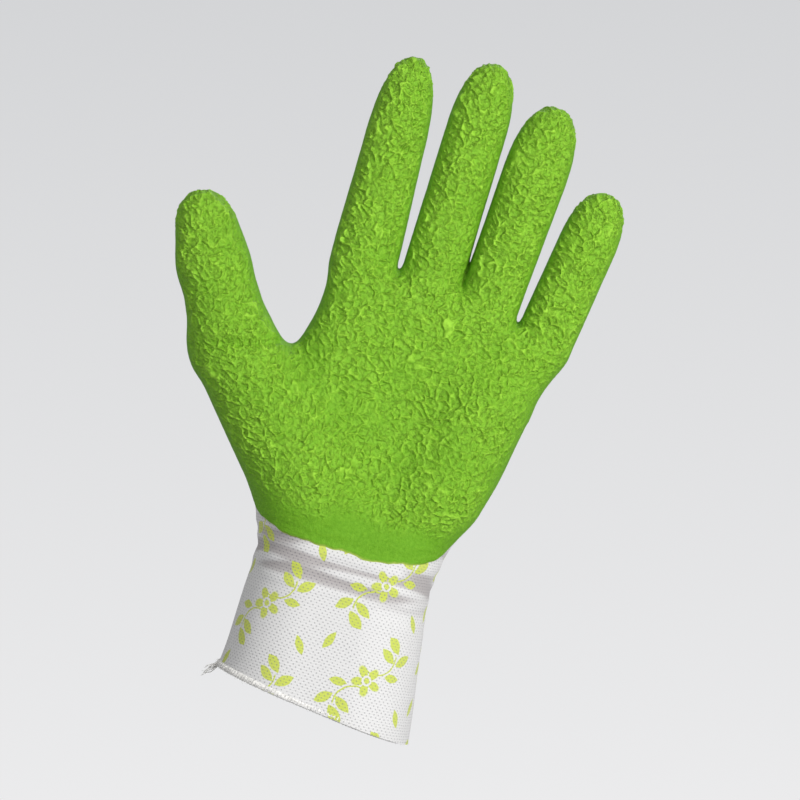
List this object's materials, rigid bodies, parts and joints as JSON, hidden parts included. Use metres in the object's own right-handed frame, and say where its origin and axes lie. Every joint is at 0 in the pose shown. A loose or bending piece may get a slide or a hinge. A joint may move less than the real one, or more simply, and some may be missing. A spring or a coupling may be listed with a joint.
{
  "type": "gardening glove",
  "caption": "Left-hand work glove: a white mesh-knit liner with a printed cuff and a crinkled latex palm, bending at fingers, thumb and wrist.",
  "frame": {"origin": "centre of the wrist opening, inside the hem", "axes": "+Z from the wrist opening to the fingertips, the coated palm faces -Y, the thumb points to -X"},
  "size_m": [0.1545, 0.0598, 0.2463],
  "materials": {
    "knit": "open mesh knit of white polyester yarn with a lime-green floral print",
    "latex": "crinkled matt-satin apple-green latex foam",
    "thread": "fuzzy white overlock thread",
    "elastic": "covered white elastic yarn"
  },
  "bodies": {
    "cuff": {"cuff_knit": "knit", "cuff_hem": "knit", "hem_thread": "thread", "hem_yarn_tail": "thread", "wrist_elastic": "elastic"},
    "palm": {"palm_knit": "knit", "palm_coating": "latex", "wrist_fold": "knit"},
    "index_base": {"index_base_knit": "knit", "index_base_coating": "latex", "index_base_fold": "latex"},
    "index_middle": {"index_middle_knit": "knit", "index_middle_coating": "latex", "index_middle_fold": "latex"},
    "index_tip": {"index_tip_knit": "knit", "index_tip_coating": "latex", "index_tip_fold": "latex"},
    "middle_base": {"middle_base_knit": "knit", "middle_base_coating": "latex", "middle_base_fold": "latex"},
    "middle_middle": {"middle_middle_knit": "knit", "middle_middle_coating": "latex", "middle_middle_fold": "latex"},
    "middle_tip": {"middle_tip_knit": "knit", "middle_tip_coating": "latex", "middle_tip_fold": "latex"},
    "ring_base": {"ring_base_knit": "knit", "ring_base_coating": "latex", "ring_base_fold": "latex"},
    "ring_middle": {"ring_middle_knit": "knit", "ring_middle_coating": "latex", "ring_middle_fold": "latex"},
    "ring_tip": {"ring_tip_knit": "knit", "ring_tip_coating": "latex", "ring_tip_fold": "latex"},
    "little_base": {"little_base_knit": "knit", "little_base_coating": "latex", "little_base_fold": "latex"},
    "little_middle": {"little_middle_knit": "knit", "little_middle_coating": "latex", "little_middle_fold": "latex"},
    "little_tip": {"little_tip_knit": "knit", "little_tip_coating": "latex", "little_tip_fold": "latex"},
    "thumb_base": {"thumb_base_knit": "knit", "thumb_base_coating": "latex", "thumb_base_fold": "latex"},
    "thumb_tip": {"thumb_tip_knit": "knit", "thumb_tip_coating": "latex", "thumb_tip_fold": "latex"}
  },
  "joints": [
    {"name": "wrist_bend", "type": "hinge", "parent": "cuff", "child": "palm", "pos_m": [-0.0018, 0, 0.045], "axis": [1, 0, 0], "range_deg": [-40, 40], "stiffness_Nm_per_rad": 0.2, "deforming": ["wrist_fold"]},
    {"name": "index_base_bend", "type": "hinge", "parent": "palm", "child": "index_base", "pos_m": [-0.0245, 0, 0.168], "axis": [1, 0, 0], "range_deg": [-10, 70], "stiffness_Nm_per_rad": 0.02, "deforming": ["index_base_fold"]},
    {"name": "index_middle_bend", "type": "hinge", "parent": "index_base", "child": "index_middle", "pos_m": [-0.02485, 0, 0.19], "axis": [1, 0, 0], "range_deg": [0, 75], "stiffness_Nm_per_rad": 0.02, "deforming": ["index_middle_fold"]},
    {"name": "index_tip_bend", "type": "hinge", "parent": "index_middle", "child": "index_tip", "pos_m": [-0.02521, 0, 0.213], "axis": [1, 0, 0], "range_deg": [0, 50], "stiffness_Nm_per_rad": 0.02, "deforming": ["index_tip_fold"]},
    {"name": "middle_base_bend", "type": "hinge", "parent": "palm", "child": "middle_base", "pos_m": [0.0012, 0, 0.169], "axis": [1, 0, 0], "range_deg": [-10, 70], "stiffness_Nm_per_rad": 0.02, "deforming": ["middle_base_fold"]},
    {"name": "middle_middle_bend", "type": "hinge", "parent": "middle_base", "child": "middle_middle", "pos_m": [0.00178, 0, 0.191], "axis": [1, 0, 0], "range_deg": [0, 75], "stiffness_Nm_per_rad": 0.02, "deforming": ["middle_middle_fold"]},
    {"name": "middle_tip_bend", "type": "hinge", "parent": "middle_middle", "child": "middle_tip", "pos_m": [0.00243, 0, 0.216], "axis": [1, 0, 0], "range_deg": [0, 50], "stiffness_Nm_per_rad": 0.02, "deforming": ["middle_tip_fold"]},
    {"name": "ring_base_bend", "type": "hinge", "parent": "palm", "child": "ring_base", "pos_m": [0.0242, 0, 0.165], "axis": [1, 0, 0], "range_deg": [-10, 70], "stiffness_Nm_per_rad": 0.02, "deforming": ["ring_base_fold"]},
    {"name": "ring_middle_bend", "type": "hinge", "parent": "ring_base", "child": "ring_middle", "pos_m": [0.02567, 0, 0.186], "axis": [1, 0, 0], "range_deg": [0, 75], "stiffness_Nm_per_rad": 0.02, "deforming": ["ring_middle_fold"]},
    {"name": "ring_tip_bend", "type": "hinge", "parent": "ring_middle", "child": "ring_tip", "pos_m": [0.02728, 0, 0.209], "axis": [1, 0, 0], "range_deg": [0, 50], "stiffness_Nm_per_rad": 0.02, "deforming": ["ring_tip_fold"]},
    {"name": "little_base_bend", "type": "hinge", "parent": "palm", "child": "little_base", "pos_m": [0.0479, 0, 0.158], "axis": [1, 0, 0], "range_deg": [-10, 62], "stiffness_Nm_per_rad": 0.02, "deforming": ["little_base_fold"]},
    {"name": "little_middle_bend", "type": "hinge", "parent": "little_base", "child": "little_middle", "pos_m": [0.05037, 0, 0.1745], "axis": [1, 0, 0], "range_deg": [0, 70], "stiffness_Nm_per_rad": 0.02, "deforming": ["little_middle_fold"]},
    {"name": "little_tip_bend", "type": "hinge", "parent": "little_middle", "child": "little_tip", "pos_m": [0.05283, 0, 0.191], "axis": [1, 0, 0], "range_deg": [0, 45], "stiffness_Nm_per_rad": 0.02, "deforming": ["little_tip_fold"]},
    {"name": "thumb_base_bend", "type": "hinge", "parent": "palm", "child": "thumb_base", "pos_m": [-0.062, -0.006, 0.118], "axis": [0.6826, 0.6428, 0.3478], "range_deg": [-10, 40], "stiffness_Nm_per_rad": 0.03, "deforming": ["thumb_base_fold"]},
    {"name": "thumb_tip_bend", "type": "hinge", "parent": "thumb_base", "child": "thumb_tip", "pos_m": [-0.07517, -0.006, 0.14384], "axis": [0.6826, 0.6428, 0.3478], "range_deg": [0, 60], "stiffness_Nm_per_rad": 0.03, "deforming": ["thumb_tip_fold"]}
  ]
}
